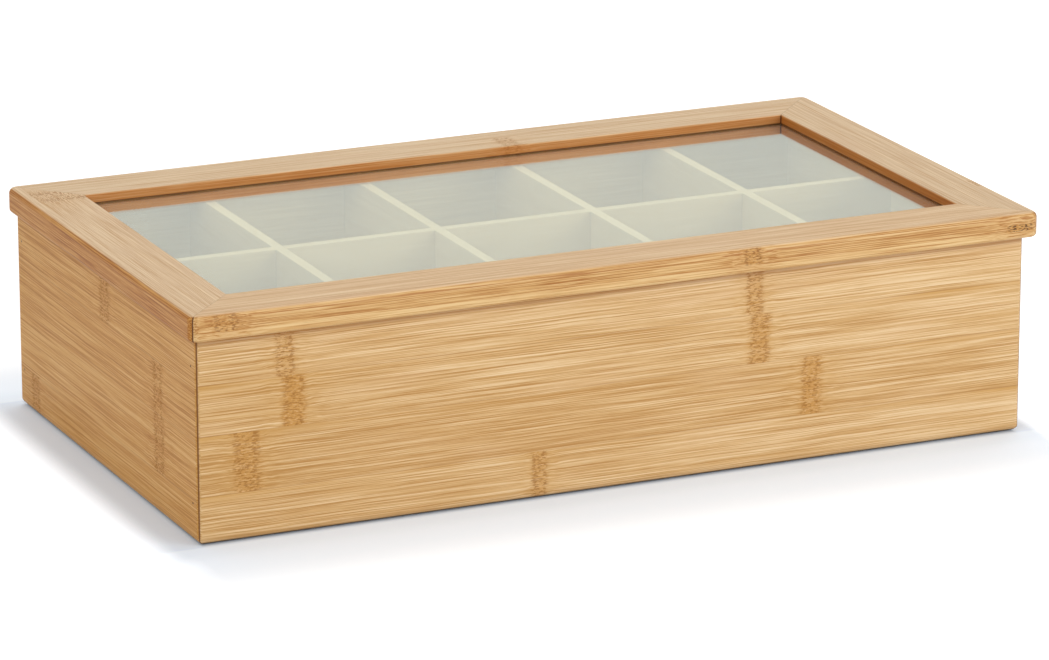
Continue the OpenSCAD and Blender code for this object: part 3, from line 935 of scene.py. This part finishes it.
# %% Dress the hinges
BRASS_BRIGHT = shown(226, 190, 118)
BRASS_DULL = shown(176, 136, 74)


def brass(name, along, across, through, seed):
    """Brushed brass with a slow tarnish."""
    material, tree = new_material(name)
    grain = grain_of(tree, along, across, through)
    brushed = streaks(tree, grain, 9, 0.12, seed)
    tarnish = streaks(tree, grain, 5, 4, seed + 1, detail=4)
    colour = tree.tint(tree.ease(tarnish, -0.3, 1.2), BRASS_BRIGHT, BRASS_DULL)
    bump = tree.node(
        "ShaderNodeBump", None, {"Strength": 0.25, "Distance": 0.02 * MM, "Height": brushed}
    )
    metal = tree.node("ShaderNodeBsdfPrincipled", None, {
        "Base Color": colour, "Metallic": 1.0, "Normal": bump,
        "Roughness": 0.26 + tree.ease(tarnish, -0.2, 1.0) * 0.16 + brushed * 0.04,
    })
    tree.node("ShaderNodeOutputMaterial", None, {"Surface": metal})
    return material


hinge_brass = brass("hinge_brass", "X", "Y", "Z", 21)
hinge_parts = [n for n in nodes if n.startswith(("left_hinge", "right_hinge"))]
dress(hinge_parts, hinge_brass)
print("brass on", hinge_parts)

# %% [markdown]
# ## Brads and screws with Geometry Nodes
#
# Eight brads pin the corners and eight screws hold the hinges. One of each is drawn by a rule, and
# then set on a few points. Geometry Nodes suit this: the shape is a line with a thickness that
# follows a formula, Curve to Mesh gives it a skin, and Instance on Points puts it where each
# point's "inward" vector says. The tree's sizes are named inputs, and at its end the instances
# are made real and get their material, so that a plain mesh comes out.

# %% A helper for Geometry Nodes groups
def new_group(name, sizes):
    """A Geometry Nodes group with named sizes, a material and geometry in, and geometry out."""
    group = bpy.data.node_groups.new(name, "GeometryNodeTree")
    face = group.interface
    face.new_socket("Geometry", in_out="INPUT", socket_type="NodeSocketGeometry")
    for size, value in sizes.items():
        face.new_socket(size, in_out="INPUT", socket_type="NodeSocketFloat").default_value = value
    face.new_socket("Finish", in_out="INPUT", socket_type="NodeSocketMaterial")
    face.new_socket("Geometry", in_out="OUTPUT", socket_type="NodeSocketGeometry")
    tree = Tree(group)
    given = {
        item.name: tree.node("NodeGroupInput", output=item.name)
        for item in group.interface.items_tree if item.in_out == "INPUT"
    }
    return group, tree, given


def turned(tree, length, radius_rule, rings, sides):
    """A closed turned shape down from the origin, from its radius as a rule of the depth."""
    end = tree.node("ShaderNodeCombineXYZ", None, {2: length * -1})
    line = tree.node("GeometryNodeCurvePrimitiveLine", None, {"End": end})
    fine = tree.node("GeometryNodeResampleCurve", None, {"Curve": line, "Count": rings})
    share = tree.node("GeometryNodeSplineParameter", output="Factor")
    profile = tree.node(
        "GeometryNodeCurvePrimitiveCircle", None, {"Resolution": sides, "Radius": 1.0}
    )
    return tree.node("GeometryNodeCurveToMesh", None, {
        "Curve": fine, "Profile Curve": profile, "Scale": radius_rule(share * length),
        "Fill Caps": True,
    })


def placed(tree, given, shape, turn=None):
    """The shape on every point, its -Z along the point's inward vector, made real."""
    inward = tree.node(
        "GeometryNodeInputNamedAttribute", {"data_type": "FLOAT_VECTOR"}, {"Name": "inward"}
    )
    outward = tree.vector("SCALE", inward)
    outward.socket.node.inputs["Scale"].default_value = -1
    stand = tree.node(
        "FunctionNodeAlignRotationToVector", {"axis": "Z"}, {"Vector": outward}
    )
    if turn is not None:
        spin = tree.node(
            "FunctionNodeAxisAngleToRotation", None, {"Axis": (0, 0, 1), "Angle": turn}
        )
        stand = tree.node(
            "FunctionNodeRotateRotation", {"rotation_space": "LOCAL"},
            {"Rotation": stand, "Rotate By": spin},
        )
    copies = tree.node("GeometryNodeInstanceOnPoints", None, {
        "Points": given["Geometry"], "Instance": shape, "Rotation": stand,
    })
    real = tree.node("GeometryNodeRealizeInstances", None, {"Geometry": copies})
    done = tree.node(
        "GeometryNodeSetMaterial", None, {"Geometry": real, "Material": given["Finish"]}
    )
    tree.node("NodeGroupOutput", None, {"Geometry": done})


def run_group(name, group, points, inward, finish, sizes=None):
    """Run the group on those points and keep the result as one plain mesh."""
    given = {"Finish": finish, **(sizes or {})}
    cloud = bpy.data.meshes.new(name)
    cloud.from_pydata(points, [], [])
    field = cloud.attributes.new("inward", "FLOAT_VECTOR", "POINT")
    field.data.foreach_set("vector", [c for direction in inward for c in direction])
    piece = bpy.data.objects.new(name, cloud)
    bpy.context.scene.collection.objects.link(piece)
    modifier = piece.modifiers.new("build", "NODES")
    modifier.node_group = group
    for item in group.interface.items_tree:
        if item.in_out == "INPUT" and item.name in given:
            modifier[item.identifier] = given[item.name]
    depsgraph = bpy.context.evaluated_depsgraph_get()
    mesh = bpy.data.meshes.new_from_object(piece.evaluated_get(depsgraph))
    piece.modifiers.clear()
    piece.data = mesh
    print(name, "has", len(mesh.polygons), "faces and", len(points), "copies")
    return piece


# %% [markdown]
# The brads are headless wire nails, 1 mm thick. Driven flush, only their cut ends show, as small
# dark dots beside the upright corners. The end is slightly crowned, and the other runs to a point.

# %% The corner brads
BRAD = {"Length": 14 * MM, "Radius": 0.5 * MM, "Crown": 0.12 * MM, "Point": 1.6 * MM}
BRAD_TIP = 0.15  # the point's blunt end, as a share of the radius
BRAD_RINGS, BRAD_SIDES = 90, 16
BRAD_DARK = shown(70, 46, 30)
BRAD_STEEL = shown(120, 108, 98)

wire, tree = new_material("brad_wire")
place = tree.node("ShaderNodeTexCoord", output="Object")
rust = tree.node("ShaderNodeTexNoise", None, {"Vector": place, "Scale": 2500, "Detail": 3})
stain = tree.tint(tree.ease(rust, 0.35, 0.65), BRAD_DARK, BRAD_STEEL)
pitted = tree.node(
    "ShaderNodeBump", None, {"Strength": 0.4, "Distance": 0.02 * MM, "Height": rust}
)
steel = tree.node("ShaderNodeBsdfPrincipled", None, {
    "Base Color": stain, "Metallic": 0.6, "Roughness": 0.4 + rust * 0.2, "Normal": pitted,
})
tree.node("ShaderNodeOutputMaterial", None, {"Surface": steel})

group, tree, given = new_group("brad", BRAD)


def brad_radius(depth):
    """Full thickness, eased in over the crown and out over the point."""
    crown = tree.ease(depth, -1 * given["Crown"], given["Crown"])
    left = (given["Length"] - depth) / given["Point"]
    return given["Radius"] * crown.least(1) * left.least(1).most(BRAD_TIP)


placed(tree, given, turned(tree, given["Length"], brad_radius, BRAD_RINGS, BRAD_SIDES))
low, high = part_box("corner_brads")
reach = BRAD["Radius"]
brad_points, brad_inward = [], []
for x in (low.x, high.x):
    for y in (low.y + reach, high.y - reach):
        for z in (low.z + reach, high.z - reach):
            brad_points.append((x, y, z))
            brad_inward.append((-math.copysign(1, x), 0, 0))
brads = run_group("corner_brad_wires", group, brad_points, brad_inward, wire)
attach(brads, "box")
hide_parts("corner_brads")

# %% [markdown]
# A hinge screw has a countersunk head with a cross recess, a shank and a thread. The head and the
# shank are one turned shape. The thread is a helix: each skin point of the shank moves out by
# a saw-tooth rule of its depth and its angle round the axis, which winds up one turn per pitch.
# A Mesh Boolean cuts the recess. Every screw stops at its own angle, from a fixed seed.

# %% The hinge screws
SCREW = {
    "Length": 9 * MM, "Head radius": 1.7 * MM, "Shank radius": 0.62 * MM, "Rim": 0.15 * MM,
    "Point": 1.5 * MM, "Pitch": 0.8 * MM, "Thread": 0.26 * MM, "Recess": 0.42 * MM,
}
SCREW_TIP = 0.06  # of the shank's radius
SCREW_RINGS, SCREW_SIDES = 120, 24
THREAD_START = 1.1  # in lengths of the head's cone, below the face
RECESS_REACH = 0.6  # of the head's radius
RECESS_DEPTH = 2.8  # the cutter's height in widths of the recess: half of it goes in
SCREW_SEED = 4

group, tree, given = new_group("hinge screw", SCREW)
cone = given["Rim"] + given["Head radius"] - given["Shank radius"]


def screw_radius(depth):
    """Rim and cone of the head, then the shank, then the point."""
    head = (given["Head radius"] + given["Rim"] - depth).least(given["Head radius"])
    left = (given["Length"] - depth) / given["Point"]
    return head.most(given["Shank radius"] * left.least(1).most(SCREW_TIP))


blank = turned(tree, given["Length"], screw_radius, SCREW_RINGS, SCREW_SIDES)
skin = tree.node("GeometryNodeInputPosition")
x, y, z = [tree.node("ShaderNodeSeparateXYZ", None, {0: skin}, output=axis) for axis in "XYZ"]
depth = z * -1
turns = depth / given["Pitch"] + y.math("ARCTAN2", y, x) / (2 * math.pi)
winding = turns.math("FRACT", turns)
tooth = 1 - abs(winding * 2 - 1)
shank = tree.ease(depth, cone * THREAD_START, cone * THREAD_START + given["Pitch"])
shank = shank * tree.ease(depth, given["Length"], given["Length"] - given["Point"])
flat = tree.node("ShaderNodeCombineXYZ", None, {0: x, 1: y})
out = tree.vector("SCALE", tree.vector("NORMALIZE", flat))
tree.feed(out.socket.node.inputs["Scale"], tooth * shank * given["Thread"])
threaded = tree.node("GeometryNodeSetPosition", None, {"Geometry": blank, "Offset": out})
cross = []
for arm_x, arm_y in ((True, False), (False, True)):
    arm = given["Head radius"] * (2 * RECESS_REACH)
    size = tree.node("ShaderNodeCombineXYZ", None, {
        0: arm if arm_x else given["Recess"],
        1: arm if arm_y else given["Recess"],
        2: given["Recess"] * RECESS_DEPTH,
    })
    cross.append(tree.node("GeometryNodeMeshCube", None, {"Size": size}))
cut = tree.node(
    "GeometryNodeMeshBoolean", {"operation": "DIFFERENCE"}, {"Mesh 1": threaded, "Mesh 2": cross}
)
own_turn = tree.node(
    "FunctionNodeRandomValue", {"data_type": "FLOAT"},
    {2: 0.0, 3: math.pi, "Seed": SCREW_SEED}, output=1,
)
placed(tree, given, cut, own_turn)

screw_brass = brass("screw_brass", "Z", "Y", "X", 37)
for node, body, inward_z in (("body_hinge_screws", "box", -1), ("lid_hinge_screws", "lid", 1)):
    low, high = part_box(node)
    head = (high.y - low.y) / 2
    face_z = high.z if inward_z < 0 else low.z
    screw_points = []
    for leaf in ("left_hinge_body_leaf", "right_hinge_body_leaf"):
        leaf_low, leaf_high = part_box(leaf)
        middle = (leaf_low.x + leaf_high.x) / 2
        half = abs(middle) + head - high.x
        for x in (middle + half, middle - half):
            screw_points.append((x, low.y + head, face_z))
    screws = run_group(
        node + "_turned", group, screw_points, [(0, 0, inward_z)] * len(screw_points),
        screw_brass, {"Length": high.z - low.z, "Head radius": head},
    )
    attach(screws, body)
    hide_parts(node)
